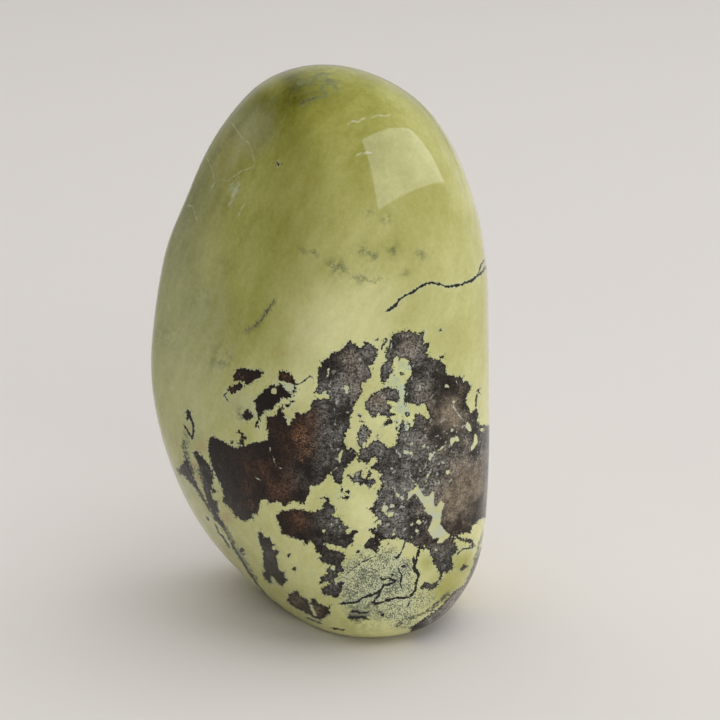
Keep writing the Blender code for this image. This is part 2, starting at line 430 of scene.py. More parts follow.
# Blue-grey smoky strokes with soft edges, given like the veins.
SMOKE_LINES = {
    "feather_edge": (0.8, (275, 299), (261, 320), (255, 326)),
    "brow_edge": (0.7, (300, 106), (303, 102), (318, 97)),
    "blot_1": (1, (374, 604), (379, 612), (384, 615)),
    "blot_2": (0.9, (373, 602), (367, 607), (361, 609)),
    "brim_1": (1.7, (408, 619), (426, 612)),
    "brim_2": (1.3, (396, 626), (403, 623)),
    "brim_3": (1.5, (409, 628), (418, 627)),
    "brim_4": (2, (424, 613), (431, 609), (450, 592)),
    "rim_line": (1.2, (483, 532), (474, 562)),
    "upper_blot": (3.2, *UPPER_BLOT),
    "lower_blot": (3.2, *LOWER_BLOT),
    "band_mid": (2.6, (199, 468), (206, 490), (214, 508)),
    "band_low": (2.6, (223, 525), (231, 540), (240, 556), (249, 570), (257, 582)),
    "band_top": (2, (183, 440), (185, 453), (188, 463), (194, 475)),
}

# Fainter strokes. The one along the left rim is a painted reflection edge, the dark border of a painted
# reflection.
FAINT_LINES = {
    "feather": (2.4, (275, 301), (257, 325), (244, 333)),
    "brow": (1.2, (302, 107), (310, 99), (329, 94)),
    "brow_2": (1, (296, 84), (306, 82), (330, 86)),
    "stem": (2, (185, 432), (187, 440), (187, 461)),
    "brow_3": (1.6, (314, 72), (324, 76), (333, 83), (338, 92)),
    # Painted reflection edge along the left rim.
    "reflection_edge": (0.5, (277, 98), (262, 105), (248, 114), (237, 126), (211, 163), (191, 206), (176, 246)),
    "drift_1": (1.2, (298, 247), (305, 253), (313, 251), (318, 257)),
    "drift_2": (1.4, (327, 262), (335, 267), (342, 266), (347, 272)),
    "drift_3": (1, (352, 279), (362, 277), (371, 281), (380, 279)),
    "drift_4": (1.1, (358, 252), (365, 249), (374, 257), (377, 252)),
}

# Pale lines: scars, streaks and wisps of the stone. The glints and the short lines near the top right are
# painted highlights: a painted glint along the right rim and bits of a painted window reflection.
PALE_LINES = {
    "scar_1": (0.7, (232, 123), (242, 138), (249, 143), (255, 162), (254, 167), (243, 170), (228, 181),
        (223, 180)),
    "scar_2": (0.6, (207, 158), (213, 172), (215, 182), (208, 193)),
    "scar_3": (0.6, (186, 205), (192, 206), (197, 220)),
    # Painted glint along the right rim.
    "glint_1": (0.5, (474, 209), (469, 270)),
    "streak_1": (0.7, (456, 380), (457, 383)),
    "streak_2": (0.8, (454, 404), (453, 406), (462, 420)),
    "streak_3": (0.8, (437, 485), (442, 480)),
    "streak_4": (0.7, (270, 447), (270, 451)),
    "streak_5": (0.6, (273, 457), (276, 465)),
    "streak_6": (0.7, (280, 468), (284, 469)),
    "streak_7": (0.6, (256, 478), (260, 480)),
    "streak_8": (0.8, (340, 424), (342, 429)),
    "streak_9": (0.8, (410, 478), (416, 484)),
    "wisp_1": (1.6, (239, 181), (229, 206)),
    "wisp_2": (1.2, (246, 202), (241, 209), (238, 217)),
    # Painted highlights: bits of the window's reflection and painted glints.
    "reflection_bit_1": (1.2, (347, 125), (352, 121), (358, 122), (366, 117)),
    "reflection_bit_2": (1, (371, 118), (378, 115), (385, 116), (390, 115)),
    "glint_2": (1.5, (356, 156), (362, 153), (371, 153)),
    "glint_3": (1, (455, 169), (464, 195)),
}

# Distances to the patches and the flecks are worked out up to these many pixels.
PATCH_PIXELS = 16.0
FLECK_PIXELS = 8.0

# Lines: how far from them distances are worked out, and over what length they thin
# out to a tip, in pixels and, on the unrolled stone, in millimetres. A tip keeps a
# share of the half width, which falls away from a line and past the seen part.
LINE_REACH = (8.0, 5.0)
HIDDEN_LINE_REACH = (3.0, 3.0)
TIP_WIDTH = 0.45
LINE_FALL = 4.0
FALL_FROM = 0.6
FALL_TO = 0.95
LINE_DROP = 3.0
DROP_SEEN = (0.0, 1.2)
DROP_HIDDEN = (-1.0, 0.0)

# Soft zones of the front view, by what they change: middle, radius and strength,
# in pixels.
ZONES = {
    # Tone zones: partly the stone's own tone and partly painted light and shade. They sharpen the soft
    # ridge, lighter to its right and darker to its left, and darken the top left, which faces up and away
    # from the light.
    "tone_and_shade": ((298, 92, 24, -0.15), (290, 80, 13, -0.12), (262, 98, 13, -0.08), (314, 338, 22, 0.05),
        (290, 122, 30, -0.06), (266, 238, 32, -0.08), (248, 335, 38, -0.08), (328, 322, 44, 0.22),
        (300, 385, 34, 0.12), (372, 292, 30, 0.1), (460, 340, 40, -0.05), (362, 505, 20, 0.14),
        (446, 590, 18, -0.36), (462, 562, 16, -0.3), (426, 562, 9, -0.18), (400, 240, 14, -0.02),
        (475, 480, 16, -0.06), (392, 360, 26, 0.08), (385, 410, 30, 0.08), (388, 88, 14, 0.09),
        (404, 102, 14, 0.09), (420, 120, 14, 0.1), (434, 138, 14, 0.1), (446, 156, 14, 0.1),
        (457, 176, 14, 0.11), (466, 198, 14, 0.11)),
    "milk": ((345, 500, 24, 1), (376, 585, 40, 0.9), (405, 375, 14, 1), (330, 380, 30, 0.4),
        (250, 405, 18, 0.5), (258, 130, 32, 0.45), (395, 410, 34, 0.7), (355, 355, 24, 0.5),
        (500, 352, 20, 0.3), (420, 350, 30, 0.3)),
    "speckle": ((376, 580, 34, 0.8), (398, 568, 16, 0.6), (398, 585, 12, 0.4), (357, 574, 12, 0.7),
        (356, 590, 18, 0.5), (402, 612, 20, 0.6), (430, 598, 11, 0.4), (372, 572, 8, -0.3),
        (410, 552, 8, -0.3), (405, 425, 8, 0.5), (268, 411, 6, 0.5), (310, 575, 10, 0.25)),
    "haze": ((322, 80, 17, 0.8), (298, 82, 6, 0.7), (220, 359, 14, 0.6), (200, 299, 14, 0.35),
        (168, 336, 12, 0.35), (228, 268, 12, 0.3), (365, 611, 17, 1), (230, 195, 16, 0.2),
        (240, 414, 7, 0.8), (368, 212, 5, 0.8), (387, 219, 6, 0.8), (394, 250, 7, 0.8),
        (363, 249, 6, 0.8), (374, 256, 5, 0.8), (420, 255, 6, 0.7), (337, 267, 8, 1), (362, 278, 7, 0.7),
        (405, 273, 4, 0.6), (184, 468, 9, 0.4), (240, 235, 12, 0.25)),
    "stain": ((226, 518, 7, 0.7), (202, 447, 6, 0.7), (195, 466, 4, 0.9), (200, 478, 4, 0.9),
        (205, 492, 4, 0.9), (210, 506, 4, 0.8), (283, 354, 2, 0.9), (222, 552, 9, 0.45),
        (236, 570, 8, 0.45), (236, 150, 16, 0.14), (222, 168, 10, 0.14)),
    "streak": ((208, 480, 22, 1), (219, 515, 16, 1), (188, 472, 14, 1), (235, 550, 14, 0.8),
        (452, 592, 16, 0.7), (188, 415, 10, 0.7), (445, 612, 10, 0.5)),
    "red": ((250, 500, 16, 0.9), (300, 440, 14, 1), (282, 488, 18, 0.9), (310, 420, 13, 0.8),
        (298, 521, 11, 1), (320, 610, 6, 1), (288, 377, 7, 0.9), (258, 466, 16, 0.5), (308, 450, 10, 0.8),
        (272, 425, 10, 0.5), (232, 389, 5, 1), (240, 378, 4, 0.5), (462, 538, 10, 0.8)),
    "orange": ((298, 437, 5, 0.9), (309, 448, 6, 1), (302, 457, 4, 0.6), (231, 389, 4, 1),
        (240, 376, 4, 0.6)),
    "tan": ((470, 480, 26, 1), (442, 402, 22, 0.8), (455, 508, 22, 0.9), (448, 430, 22, 0.9),
        (378, 400, 9, 0.8), (350, 362, 14, 0.5), (406, 345, 14, 0.5), (424, 512, 9, 0.4),
        (303, 600, 14, 0.5), (318, 612, 8, 0.4), (360, 388, 12, 0.5), (425, 540, 12, 0.5)),
    # A lighter grey-brown of the dark mineral at the lower right ledge.
    "pale_ledge": ((462, 592, 12, 1), (447, 606, 12, 0.8), (432, 617, 10, 0.7), (474, 570, 8, 0.7),
        (482, 548, 8, 0.6)),
    "tint": ((402, 368, 13, 1.2), (398, 392, 10, 1.1), (400, 412, 9, 1.1), (405, 428, 8, 1.1),
        (470, 440, 8, 1), (290, 388, 7, 1), (284, 398, 8, 0.7), (330, 372, 5, 0.7), (322, 392, 6, 0.7),
        (330, 548, 9, 1), (420, 546, 7, 0.4), (372, 412, 8, 0.4), (392, 470, 12, 0.5),
        (312, 575, 12, 0.4), (234, 189, 9, 0.7), (228, 208, 8, 0.6), (222, 232, 9, 0.4)),
    "grey": ((400, 345, 30, 0.9), (415, 385, 28, 1), (400, 450, 34, 1), (400, 500, 34, 1),
        (395, 535, 30, 0.8), (440, 560, 22, 0.5), (440, 470, 40, 1), (470, 440, 30, 1),
        (355, 365, 26, 0.8), (340, 398, 22, 1), (334, 452, 20, 1), (335, 525, 20, 0.8),
        (270, 560, 16, 0.35), (332, 580, 22, 0.65), (362, 478, 16, 1), (360, 435, 14, 1),
        (385, 405, 18, 1), (318, 390, 12, 0.5), (208, 485, 16, 0.1), (455, 600, 34, 0.8),
        (334, 424, 14, 0.6), (306, 480, 18, 0.35)),
}

# The zones that each vector attribute of the mesh carries.
ZONE_GROUPS = {
    "ground_zones": ("tone_and_shade", "milk", "speckle"),
    "cloud_zones": ("haze", "stain", "streak"),
    "patch_zones": ("red", "tan", "grey"),
    "accent_zones": ("orange", "tint", "pale_ledge"),
}

# Dark veins of the hidden sides: half width, then points: the turn in degrees from
# the front towards the right, and the height in millimetres. They are drawn on the
# stone unrolled at UNROLLED_RADIUS, and sway in seeded waves.
HIDDEN_VEINS = {
    "side": (0.22, (73, 69.3), (80, 70.5), (86, 69), (93, 71), (100, 74), (106, 74.5), (113, 77)),
    "side_fork": (0.15, (93, 71), (98, 68), (104, 66.5), (109, 63)),
    "back_1": (0.24, (150, 78), (157, 79), (163, 82), (171, 82.5), (178, 86), (187, 87), (196, 91)),
    "back_2": (0.18, (163, 81.5), (168, 76), (173, 74), (177, 68), (184, 66.5), (189, 62)),
    "back_3": (0.24, (238, 30), (232, 34), (229, 39), (222, 41), (218, 46), (214, 52), (208, 54)),
    "back_4": (0.16, (262, 76), (255, 74.5), (250, 70), (243, 68.5), (238, 66)),
    "low": (0.2, (118, 17), (125, 13), (131, 14), (139, 9.5), (146, 9)),
}
UNROLLED_RADIUS = 30.0
VEIN_WAVES = (9.0, 31)
VEIN_SWAY = 0.4

# How far round the side, in millimetres, the drawn markings go on past what the
# front camera sees, and the seeded waves that fray them there.
CARRY_FROM = 1.5
CARRY_TO = 14.0
CARRY_PULL = 4.0
CARRY_WAVES = (16.0, 32)
FRAY_WAVES = (8.0, 33)
FRAY_RISE = (0.5, 5.0)
FRAY = 0.8
FLECK_FRAY = 0.5

# Seeded waves of the hidden sides: wavelength in millimetres and seed, and for
# the zones a strength.
PATCH_WAVES = (34.0, 11)
PATCH_SLOPE = 0.36
PATCH_COVER = 0.25
PATCH_HEIGHT = 30.0
PATCH_SPREAD = 26.0
PATCH_REACH = 3.0
FLECK_WAVES = (8.0, 21)
FLECK_LEVEL = 1.5
ZONE_WAVE_RISE = (0.5, 1.9)
ZONE_WAVES = {
    "speckle": (30.0, 5, 0.6), "haze": (22.0, 6, 0.6), "red": (22.0, 7, 0.9), "tan": (24.0, 8, 0.8),
    "grey": (20.0, 9, 1.0), "milk": (34.0, 10, 0.7), "stain": (26.0, 12, 0.25),
    "streak": (30.0, 13, 0.3), "orange": (15.0, 14, 0.4), "tint": (18.0, 15, 0.8),
}
WAVE_OCTAVES = 4
WAVE_COUNT = 7
WAVE_FADE = 0.55

# Tone of the clear stone: at the top, its rise towards the foot, and its rise
# per millimetre to the right.
TONE_TOP = 0.34
TONE_RISE = 0.32
TONE_ACROSS = 0.0035
TONE_MIDDLE = -7.0
RISE_FROM = 100.0
RISE_LENGTH = 60.0

# Milkiness of the clear stone at the left: its strength, how far it leans with the
# height, and where it starts and is full, in millimetres.
MILK_LEFT = 0.9
MILK_LEAN = 0.12
MILK_FROM = -8.0
MILK_TO = 30.0


def smooth_curve(values, level_end=False):
    """Slopes at the values for a cubic curve through all of them.

    The curve ends freely, or with no slope where level_end is set.
    """
    count = len(values)
    matrix = np.zeros((count, count))
    right_side = np.zeros(count)
    matrix[0, :2] = (2.0, 1.0)
    right_side[0] = 3.0 * (values[1] - values[0])
    for row in range(1, count - 1):
        matrix[row, row - 1:row + 2] = (1.0, 4.0, 1.0)
        right_side[row] = 3.0 * (values[row + 1] - values[row - 1])
    if level_end:
        matrix[-1, -1] = 1.0
    else:
        matrix[-1, -2:] = (1.0, 2.0)
        right_side[-1] = 3.0 * (values[-1] - values[-2])
    return np.linalg.solve(matrix, right_side)


def along_curve(values, slopes, places):
    """Read the cubic curve at places counted in sections."""
    start = np.clip(np.floor(places).astype(int), 0, len(values) - 2)
    part = places - start
    rise = part ** 2 * (3.0 - 2.0 * part)
    leave = part * (1.0 - part) ** 2
    arrive = -part ** 2 * (1.0 - part)
    level = values[start] * (1.0 - rise) + values[start + 1] * rise
    return level + slopes[start] * leave + slopes[start + 1] * arrive


def section_sizes(places):
    """Height, left, right, front and back of the oval at each place."""
    sizes = []
    for index, values in enumerate(np.array(SECTIONS).T):
        slopes = smooth_curve(values, level_end=index == 0)
        sizes.append(along_curve(values, slopes, places))
    return sizes


def soft_smaller(radius, limit, crispness):
    """The smaller of two radii, with a soft change from one to the other."""
    return (radius ** -crispness + limit ** -crispness) ** (-1.0 / crispness)


def stone_rings(places, turn):
    """Points of the stone in millimetres, as rings from the base to the top."""
    height, left, right, front, back = section_sizes(places)
    middle_x = (left + right) / 2.0
    middle_y = (front + back) / 2.0
    half_width = np.maximum((right - left) / 2.0, TINY)[:, None]
    half_depth = np.maximum((back - front) / 2.0, TINY)[:, None]
    along_x = np.cos(turn)[None, :]
    along_y = np.sin(turn)[None, :]
    oval = np.abs(along_x / half_width) ** OVAL_POWER
    oval = oval + np.abs(along_y / half_depth) ** OVAL_POWER
    radius = oval ** (-1.0 / OVAL_POWER)
    for azimuth, elevation, distance, crispness in FACETS.values():
        facing_x = math.cos(math.radians(azimuth))
        facing_y = math.sin(math.radians(azimuth))
        tilt = math.radians(elevation)
        reach = (distance - height * math.sin(tilt)) / math.cos(tilt)
        reach = reach - middle_x * facing_x - middle_y * facing_y
        facing = np.maximum(along_x * facing_x + along_y * facing_y, TINY)
        limit = np.maximum(reach, LEAST_REACH)[:, None] / facing
        radius = soft_smaller(radius, limit, crispness)
    points_x = middle_x[:, None] + radius * along_x
    points_y = middle_y[:, None] + radius * along_y
    points_z = np.repeat(height[:, None], len(turn), axis=1)
    return np.stack((points_x, points_y, points_z), axis=-1)


def evenly(values, lengths, count):
    """Count values, spaced so that the given lengths are shared out evenly."""
    total = np.concatenate(([0.0], np.cumsum(lengths)))
    return np.interp(np.linspace(0.0, total[-1], count), total, values)


def ring_places():
    """Where the rings lie, closer together in the marked lower part."""
    places = np.linspace(0.0, len(SECTIONS) - 1.0, PLACE_STEPS + 1)
    height, left, right = section_sizes(places)[:3]
    steps = np.hypot(np.diff(height), np.diff(right - left) / 2.0)
    share = np.where(height[1:] > UPPER_PART_FROM, UPPER_PART_SHARE, 1.0)
    return evenly(places, steps * share, RING_COUNT)


def side_turns():
    """Directions of the stone's sides, closest together where it faces the camera."""
    turn = np.linspace(0.0, 2.0 * math.pi, TURN_STEPS + 1)
    ring = stone_rings(np.array([TYPICAL_SECTION]), turn)[0]
    steps = np.abs(np.diff(ring, axis=0))
    lengths = steps[:, 0] + SIDE_SHARE * steps[:, 1]
    lengths = lengths * np.where(ring[1:, 1] > BACK_FROM, BACK_SHARE, 1.0)
    return evenly(turn, lengths, SIDE_COUNT + 1)[:-1]


def seen_pixels(points):
    """Pixels of the front view where points in millimetres are seen."""
    down = math.radians(CAMERA_DOWN)
    across, inward, upward = (points - np.array(CAMERA_PLACE)).T
    depth = inward * math.cos(down) - upward * math.sin(down)
    rise = inward * math.sin(down) + upward * math.cos(down)
    scale = FRAME_PIXELS * CAMERA_LENS / CAMERA_SENSOR / depth
    middle = FRAME_PIXELS / 2.0
    return np.stack((middle + scale * across, middle - scale * rise), axis=1)


def ring_normals(rings):
    """Outward directions at the points of the rings, not of unit length."""
    upward = np.gradient(rings, axis=0)
    around = np.roll(rings, -1, axis=1) - np.roll(rings, 1, axis=1)
    normals = np.cross(around, upward)
    normals[-1] = (0.0, 0.0, 1.0)
    return normals


def past_sight(rings):
    """How far round its ring each point lies past what the front camera sees."""
    to_camera = np.array(CAMERA_PLACE) - rings
    seen = np.sum(ring_normals(rings) * to_camera, axis=-1) > 0.0
    steps = np.linalg.norm(rings - np.roll(rings, 1, axis=1), axis=-1)
    along = np.cumsum(np.tile(steps, (1, 3)), axis=1)
    thrice = np.tile(seen, (1, 3))
    before = np.maximum.accumulate(np.where(thrice, along, -VERY_FAR), axis=1)
    after = np.minimum.accumulate(np.where(thrice, along, VERY_FAR)[:, ::-1], axis=1)[:, ::-1]
    sides = rings.shape[1]
    return np.minimum(along - before, after - along)[:, sides:2 * sides].ravel()


def smooth_step(values, low, high):
    """0 below low, 1 above high, and a soft rise between them."""
    part = np.clip((values - low) / (high - low), 0.0, 1.0)
    return part * part * (3.0 - 2.0 * part)


def near(places, points, reach):
    """Which places lie in the box around the points, widened by reach."""
    low = np.min(points, axis=0) - reach
    high = np.max(points, axis=0) + reach
    return np.all((places > low) & (places < high), axis=1)


def from_point(places, across, downward):
    """Distance of the places from one point."""
    return np.hypot(places[:, 0] - across, places[:, 1] - downward)


def to_segment(places, start, end):
    """Distance from places to a segment, share along it, and side of it."""
    edge = end - start
    offset = places - start
    share = (offset @ edge) / (edge @ edge)
    gap = offset - np.clip(share, 0.0, 1.0)[:, None] * edge
    side = np.sign(edge[0] * offset[:, 1] - edge[1] * offset[:, 0])
    return np.hypot(gap[:, 0], gap[:, 1]), share, side


def shapes_distance(places, outlines, dots, reach):
    """Signed distance to the nearest outline or dot, negative inside, in millimetres."""
    found = np.full(len(places), reach)
    for outline in outlines.values():
        points = np.array(outline, float)
        close = near(places, points, reach)
        chosen = places[close]
        best = np.full(len(chosen), reach)
        inside = np.zeros(len(chosen), bool)
        for start, end in zip(points, np.roll(points, -1, axis=0)):
            distance, _, side = to_segment(chosen, start, end)
            best = np.minimum(best, distance)
            crosses = (start[1] > chosen[:, 1]) != (end[1] > chosen[:, 1])
            inside ^= crosses & (side * (end[1] - start[1]) > 0.0)
        found[close] = np.minimum(found[close], np.where(inside, -best, best))
    for across, downward, radius in dots:
        found = np.minimum(found, from_point(places, across, downward) - radius)
    return found / PIXELS_PER_MM


def lines_field(places, lines, reach, taper, unit=1.0, scale=(1.0, 1.0)):
    """Signed distance to the nearest line and the line's half width there.

    The half width is negative away from the lines. Both are divided by the unit.
    """
    best = np.full(len(places), reach * 2.0)
    signed = np.full(len(places), reach * 2.0)
    width = np.full(len(places), -1.0)
    for half_width, *line in lines.values():
        points = np.array(line) * scale
        lengths = np.linalg.norm(np.diff(points, axis=0), axis=1)
        passed = 0.0
        close = np.nonzero(near(places, points, reach))[0]
        for start, end, length in zip(points[:-1], points[1:], lengths):
            distance, share, side = to_segment(places[close], start, end)
            along = passed + share * length
            passed += length
            to_end = np.minimum(along, lengths.sum() - along)
            closer = distance < best[close]
            chosen = close[closer]
            best[chosen] = distance[closer]
            signed[chosen] = (distance * side)[closer]
            ending = np.clip(TIP_WIDTH + to_end / taper, -1.0, 1.0)
            width[chosen] = (half_width * ending)[closer]
    width = width - LINE_FALL * smooth_step(best, FALL_FROM * reach, FALL_TO * reach)
    return signed / unit, width / unit


def zone_weight(places, zones):
    """Strength of soft round zones at the places."""
    weight = np.zeros(len(places))
    for across, downward, radius, strength in zones:
        distance = from_point(places, across, downward)
        weight = weight + strength * np.exp(-((distance / radius) ** 2))
    return weight


def waves(points, wavelength, seed):
    """Smooth seeded noise of about unit size at points in millimetres."""
    random = np.random.default_rng(seed)
    total = np.zeros(len(points))
    for octave in range(WAVE_OCTAVES):
        facing = random.normal(size=(WAVE_COUNT, 3))
        facing /= np.linalg.norm(facing, axis=1, keepdims=True)
        phase = random.uniform(0.0, 2.0 * math.pi, WAVE_COUNT)
        turns = points @ facing.T * (2.0 * math.pi * 2.0 ** octave / wavelength)
        total += np.sin(turns + phase).sum(axis=1) / math.sqrt(WAVE_COUNT) * WAVE_FADE ** octave
    return total


def hidden_patches(points):
    """Signed distance to the hidden sides' patches, in millimetres."""
    cover = PATCH_COVER - np.abs(points[:, 2] - PATCH_HEIGHT) / PATCH_SPREAD
    found = -(waves(points, *PATCH_WAVES) + cover) / PATCH_SLOPE
    return np.clip(found, -PATCH_REACH, PATCH_REACH)


def clear_tone(points):
    """How pale the clear stone is: darker at the top, paler at the foot and right."""
    rise = np.clip((RISE_FROM - points[:, 2]) / RISE_LENGTH, 0.0, 1.0)
    return TONE_TOP + TONE_RISE * rise + TONE_ACROSS * (points[:, 0] - TONE_MIDDLE)


def left_milk(points):
    """Milkiness of the clear stone, which grows towards the left."""
    leftward = -points[:, 0] - MILK_LEAN * points[:, 2]
    return MILK_LEFT * smooth_step(leftward, MILK_FROM, MILK_TO)


def zone_markings(points, pixels, front, back):
    """The zones' strengths at the points, in groups by the mesh attribute's name."""
    weight = {}
    for name, zones in ZONES.items():
        weight[name] = zone_weight(pixels, zones) * front
    for name, (wavelength, seed, strength) in ZONE_WAVES.items():
        hidden = smooth_step(waves(points, wavelength, seed), *ZONE_WAVE_RISE)
        weight[name] += strength * hidden * back
    weight["tone_and_shade"] += clear_tone(points)
    weight["milk"] += left_milk(points) * front
    found = {}
    for name, group in ZONE_GROUPS.items():
        found[name] = np.stack([weight[zone] for zone in group], axis=1)
    return found


def unrolled(points):
    """The points on the unrolled stone, swayed so that lines drawn there wander."""
    turn = np.arctan2(points[:, 0], -points[:, 1]) % (2.0 * math.pi)
    sway = VEIN_SWAY * waves(points, *VEIN_WAVES)
    return np.stack((turn * UNROLLED_RADIUS + 0.5 * sway, points[:, 2] + sway), axis=1)


def line_markings(points, pixels, past, front):
    """Side distance, half width and front share of the lines, by attribute name."""
    groups = {f"vein_{index}": lines for index, lines in enumerate(DARK_VEINS)}
    groups.update(pale=PALE_LINES, smoke=SMOKE_LINES, faint=FAINT_LINES)
    unseen = LINE_DROP * smooth_step(past, *DROP_SEEN)
    seen = LINE_DROP * smooth_step(-past, *DROP_HIDDEN)
    found = {}
    for name, lines in groups.items():
        signed, width = lines_field(pixels, lines, *LINE_REACH, unit=PIXELS_PER_MM)
        found[name] = np.stack((signed, width - unseen, front), axis=1)
    per_degree = (math.radians(1.0) * UNROLLED_RADIUS, 1.0)
    places = unrolled(points)
    signed, width = lines_field(places, HIDDEN_VEINS, *HIDDEN_LINE_REACH, scale=per_degree)
    found["vein_back"] = np.stack((signed, width - seen, front), axis=1)
    return found


def markings(rings):
    """The markings at each point of the rings, by the name of the mesh attribute."""
    points = rings.reshape(-1, 3)
    pixels = seen_pixels(points)
    past = past_sight(rings)
    pull = CARRY_PULL * (1.0 + waves(points, *CARRY_WAVES)) * smooth_step(past, 0.0, CARRY_PULL)
    back = smooth_step(past - pull, CARRY_FROM, CARRY_TO)
    front = 1.0 - back
    fray = FRAY * waves(points, *FRAY_WAVES) * smooth_step(past, *FRAY_RISE)
    patch = shapes_distance(pixels, PATCHES, DOTS, PATCH_PIXELS) + fray
    fleck = shapes_distance(pixels, FLECKS, FLECK_DOTS, FLECK_PIXELS) + FLECK_FRAY * fray
    hidden_flecks = FLECK_LEVEL - waves(points, *FLECK_WAVES)
    return {
        "patch": front * patch + back * hidden_patches(points),
        "fleck": front * fleck + back * hidden_flecks,
        **line_markings(points, pixels, past, front),
        **zone_markings(points, pixels, front, back),
    }


def build_mesh(rings, found):
    """A closed mesh of the rings, which carries the markings as attributes."""
    ring_count, sides = rings.shape[:2]
    top = (ring_count - 1) * sides
    vertices = np.vstack((rings[:-1].reshape(-1, 3), rings[-1].mean(axis=0)))
    index = np.arange(top).reshape(-1, sides)
    after = np.roll(index, -1, axis=1)
    quads = np.stack((index[:-1], after[:-1], after[1:], index[1:]), axis=-1)
    faces = quads.reshape(-1, 4).tolist()
    for first, second in zip(index[-1].tolist(), after[-1].tolist()):
        faces.append((first, second, top))
    faces.append(index[0, ::-1].tolist())
    mesh = bpy.data.meshes.new(PIECE_NAME)
    mesh.from_pydata((vertices * MM).tolist(), [], faces)
    for name, values in found.items():
        kept = values[:top + 1].astype(np.float32)
        kind, field = ("FLOAT", "value") if kept.ndim == 1 else ("FLOAT_VECTOR", "vector")
        mesh.attributes.new(name, kind, "POINT").data.foreach_set(field, kept.ravel())
    mesh.shade_smooth()
    mesh.set_sharp_from_angle(angle=math.radians(SHARP_ANGLE))
    return mesh


class Nodes:
    """Short ways to add the nodes of one material or world."""

    def __init__(self, tree):
        self.tree = tree
        self.millimetres = None

    def add(self, kind, *values, **settings):
        """A node of the kind, with the values in its first inputs."""
        made = self.tree.nodes.new(kind)
        for name, value in settings.items():
            setattr(made, name, value)
        for socket, value in zip(made.inputs, values):
            self.put(socket, value)
        return made

    def put(self, socket, value):
        """Link the input to a socket, or set it to a value."""
        if isinstance(value, bpy.types.NodeSocket):
            self.tree.links.new(value, socket)
        elif socket.type == "RGBA":
            socket.default_value = (*value, 1.0)
        else:
            socket.default_value = value

    def fill(self, made, values):
        """Give the node's inputs of those names their values."""
        for name, value in values.items():
            self.put(made.inputs[name], value)

    def math(self, operation, *values, clamp=False):
        """The values put together one after the other by the operation."""
        total = values[0]
        for value in values[1:]:
            made = self.add("ShaderNodeMath", total, value, operation=operation, use_clamp=clamp)
            total = made.outputs[0]
        return total

    def times(self, *values, clamp=False):
        return self.math("MULTIPLY", *values, clamp=clamp)

    def plus(self, *values):
        return self.math("ADD", *values)

    def ramp(self, value, low, high, start=0.0, end=1.0):
        """A soft change from start to end while the value goes from low to high."""
        levels = (value, low, high, start, end)
        return self.add("ShaderNodeMapRange", *levels, interpolation_type="SMOOTHSTEP").outputs[0]

    def change(self, name, value):
        """The soft change of that name, driven by the value."""
        return self.ramp(value, *CHANGES[name])

    def mix(self, share, first, second):
        """The first colour, or by the share the second one."""
        made = self.add("ShaderNodeMix", share, data_type="RGBA")
        self.put(made.inputs[MIX_FIRST], first)
        self.put(made.inputs[MIX_SECOND], second)
        return made.outputs[MIX_RESULT]

    def scaled(self, colour, factor):
        """The colour made lighter or darker by the factor."""
        made = self.add("ShaderNodeVectorMath", colour, operation="SCALE")
        self.put(made.inputs["Scale"], factor)
        return made.outputs[0]

    def noise(self, name):
        """The noise of that name, of about 0 to 1."""
        size, detail, roughness, shift, *drawn_out = NOISES[name]
        stretch, turn = drawn_out or (1.0, 0.0)
        mapping = self.add("ShaderNodeMapping", vector_type="TEXTURE")
        self.fill(mapping, {
            "Vector": self.millimetres,
            "Location": [shift * share for share in NOISE_SHIFT],
            "Rotation": (0.0, math.radians(turn), 0.0),
            "Scale": (1.0, 1.0, stretch),
        })
        made = self.add("ShaderNodeTexNoise", mapping.outputs[0])
        self.fill(made, {"Scale": 1.0 / size, "Detail": detail, "Roughness": roughness})
        return made.outputs["Fac"]

    def grain(self, name):
        """The soft change of that name, driven by the noise of that name."""
        return self.change(name, self.noise(name))

    def value(self, name):
        return self.add("ShaderNodeAttribute", attribute_name=name).outputs["Fac"]

    def parts(self, name):
        """The three numbers of a vector attribute."""
        attribute = self.add("ShaderNodeAttribute", attribute_name=name)
        return tuple(self.add("ShaderNodeSeparateXYZ", attribute.outputs["Vector"]).outputs)


def line_mask(nodes, name, scallop):
    """1 on the lines of that look, 0 off them."""
    attributes, sway, soft = LINE_LOOKS[name]
    wobble = nodes.times(scallop, sway)
    swell = nodes.grain("line_swell")
    masks = []
    for attribute in attributes:
        signed, width, _ = nodes.parts(attribute)
        off = nodes.math("ABSOLUTE", nodes.plus(signed, wobble), 0.0)
        inside = nodes.math("SUBTRACT", nodes.times(width, swell), off)
        masks.append(nodes.ramp(inside, -soft, soft))
    return nodes.math("MAXIMUM", *masks)


def clear_colour(nodes, tone_and_shade, milk):
    """Yellow-green serpentine of the tone, which is partly painted light and shade, deeper when dark,
    bluer when milky.
    """
    blue = nodes.math("MAXIMUM", nodes.change("clear_blue", tone_and_shade), nodes.change("milk_blue", milk))
    green = nodes.change("milk_green", milk)
    channels = (tone_and_shade, nodes.times(tone_and_shade, green), nodes.times(tone_and_shade, blue))
    return nodes.add("ShaderNodeCombineColor", *channels).outputs[0]


def speckled(nodes, colour, speckle):
    """The colour under a dense scatter of small dark dots."""
    grain = nodes.plus(
        nodes.times(nodes.noise("speckle_fine"), SPECKLE_FINE_SHARE),
        nodes.times(nodes.noise("speckle_coarse"), 1.0 - SPECKLE_FINE_SHARE),
        nodes.times(speckle, SPECKLE_GAIN, clamp=True),
        nodes.grain("speckle_clumps"),
    )
    dots = nodes.times(nodes.change("speckle_dots", grain), nodes.change("speckle_there", speckle))
    colour = nodes.mix(nodes.change("speckle_ground", speckle), colour, SPECKLE_GROUND)
    return nodes.mix(nodes.times(dots, SPECKLE_SHARE), colour, SPECKLE)


